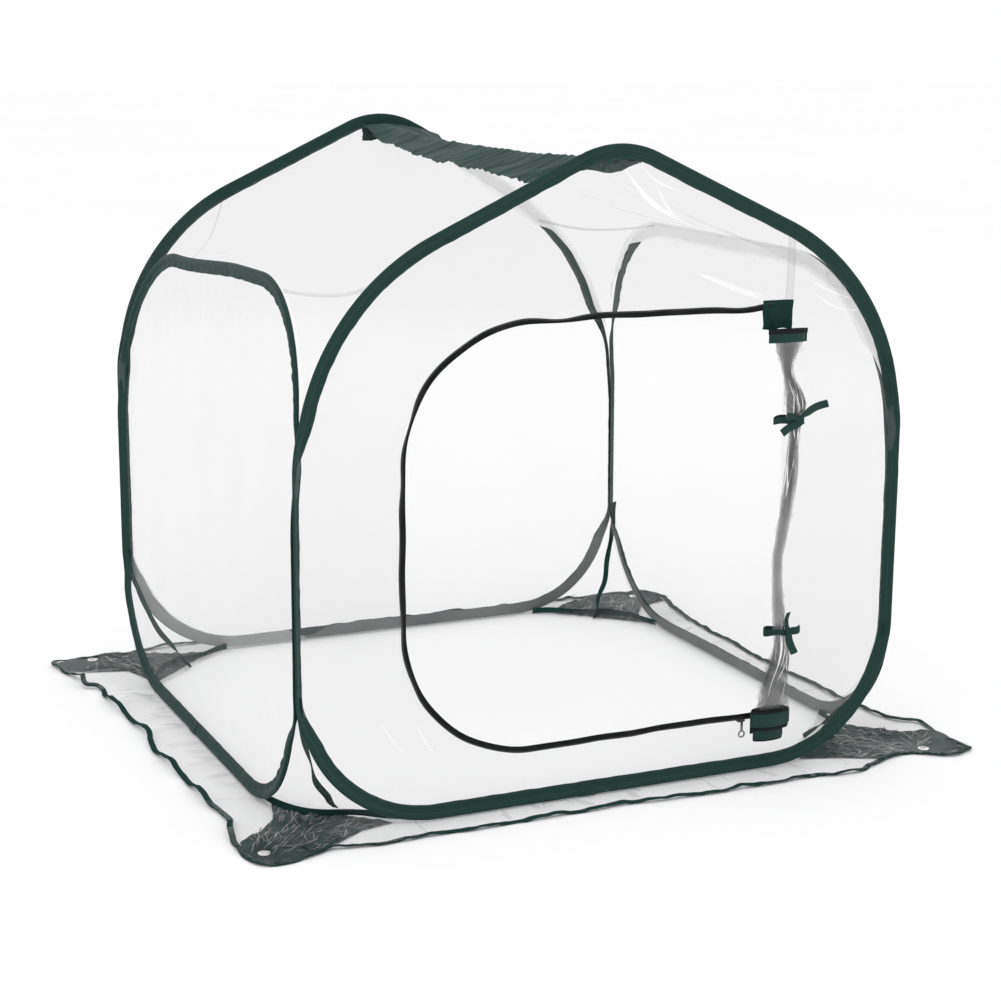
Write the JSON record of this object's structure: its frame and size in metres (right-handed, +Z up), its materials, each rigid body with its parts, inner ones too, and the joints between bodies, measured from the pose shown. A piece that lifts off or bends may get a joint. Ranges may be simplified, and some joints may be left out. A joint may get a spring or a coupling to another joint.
{
  "type": "mini pop up greenhouse",
  "caption": "Clear film mini pop up greenhouse: hinged sprung hoop panels in fabric sleeves, a gabled roof, a zipped roll-up door and a ground skirt with peg grommets.",
  "frame": {"origin": "centre of the footprint, on the ground", "axes": "+Z up, -Y towards the front panel with the door, +X to the right seen from the front"},
  "size_m": [1.26, 1.09, 0.985],
  "materials": {
    "clear_film": "clear flexible PVC film, glossy and slightly rippled",
    "green_fabric": "dark green woven polyester",
    "zipper_black": "black nylon coil zipper",
    "spring_steel": "tempered spring steel strip",
    "plated_metal": "nickel plated"
  },
  "bodies": {
    "front": {"front_hoop": "spring_steel", "front_ferrule": "spring_steel", "front_sleeve": "green_fabric", "front_film": "clear_film", "front_skirt": "clear_film", "front_binding": "green_fabric", "top_gusset_fl": "clear_film", "top_gusset_fr": "clear_film", "foot_gusset_fl": "clear_film", "foot_gusset_fr": "clear_film", "gusset_tape_fl": "green_fabric", "gusset_tape_fr": "green_fabric", "corner_patch_fl": "green_fabric", "corner_patch_fr": "green_fabric", "corner_binding_fl": "green_fabric", "corner_binding_fr": "green_fabric", "front_grommets": "plated_metal", "zipper_tape": "zipper_black", "door_patch_top": "green_fabric", "door_patch_bottom": "green_fabric", "door_roll": "clear_film", "door_end_top": "green_fabric", "door_end_bottom": "green_fabric", "tie_upper": "green_fabric", "tie_lower": "green_fabric"},
    "left": {"left_hoop": "spring_steel", "left_ferrule": "spring_steel", "left_sleeve": "green_fabric", "left_film": "clear_film", "left_skirt": "clear_film", "left_binding": "green_fabric"},
    "right": {"right_hoop": "spring_steel", "right_ferrule": "spring_steel", "right_sleeve": "green_fabric", "right_film": "clear_film", "right_skirt": "clear_film", "right_binding": "green_fabric"},
    "back": {"back_hoop": "spring_steel", "back_ferrule": "spring_steel", "back_sleeve": "green_fabric", "back_film": "clear_film", "back_skirt": "clear_film", "back_binding": "green_fabric", "top_gusset_bl": "clear_film", "top_gusset_br": "clear_film", "foot_gusset_bl": "clear_film", "foot_gusset_br": "clear_film", "gusset_tape_bl": "green_fabric", "gusset_tape_br": "green_fabric", "corner_patch_bl": "green_fabric", "corner_patch_br": "green_fabric", "corner_binding_bl": "green_fabric", "corner_binding_br": "green_fabric", "back_grommets": "plated_metal"},
    "ridge": {"ridge_strip": "green_fabric", "roof_film_left": "clear_film", "roof_film_right": "clear_film"},
    "slider": {"zipper_slider": "zipper_black"},
    "pull": {"zipper_pull": "plated_metal"}
  },
  "joints": [
    {"name": "left_fold", "type": "hinge", "parent": "front", "child": "left", "pos_m": [-0.5, -0.475, 0], "axis": [0, 0, -1], "range_deg": [0, 85], "stiffness_Nm_per_rad": 1, "deforming": ["top_gusset_fl", "foot_gusset_fl", "gusset_tape_fl", "corner_patch_fl", "corner_binding_fl"]},
    {"name": "right_fold", "type": "hinge", "parent": "front", "child": "right", "pos_m": [0.5, -0.475, 0], "axis": [0, 0, -1], "range_deg": [0, 85], "deforming": ["top_gusset_fr", "foot_gusset_fr", "gusset_tape_fr", "corner_patch_fr", "corner_binding_fr", "top_gusset_br", "foot_gusset_br", "gusset_tape_br", "corner_patch_br", "corner_binding_br"]},
    {"name": "back_fold", "type": "hinge", "parent": "left", "child": "back", "pos_m": [-0.5, 0.475, 0], "axis": [0, 0, -1], "range_deg": [-85, 0], "deforming": ["top_gusset_bl", "foot_gusset_bl", "gusset_tape_bl", "corner_patch_bl", "corner_binding_bl"]},
    {"name": "ridge_fold", "type": "hinge", "parent": "front", "child": "ridge", "pos_m": [0, -0.475, 0], "axis": [0, 0, -1], "range_deg": [0, 85], "deforming": ["roof_film_left", "roof_film_right", "ridge_strip"]},
    {"name": "zipper_slide", "type": "slide", "parent": "front", "child": "slider", "axis": [-1, 0, 0], "range_m": [0, 0.35]},
    {"name": "pull_swing", "type": "hinge", "parent": "slider", "child": "pull", "pos_m": [0.231, -0.4824, 0.0855], "axis": [-1, 0, 0], "range_deg": [0, 150]}
  ],
  "couplings": [
    {"joint": "right_fold", "follows": "left_fold", "ratio": 1},
    {"joint": "back_fold", "follows": "left_fold", "ratio": -1},
    {"joint": "ridge_fold", "follows": "left_fold", "ratio": 1}
  ]
}
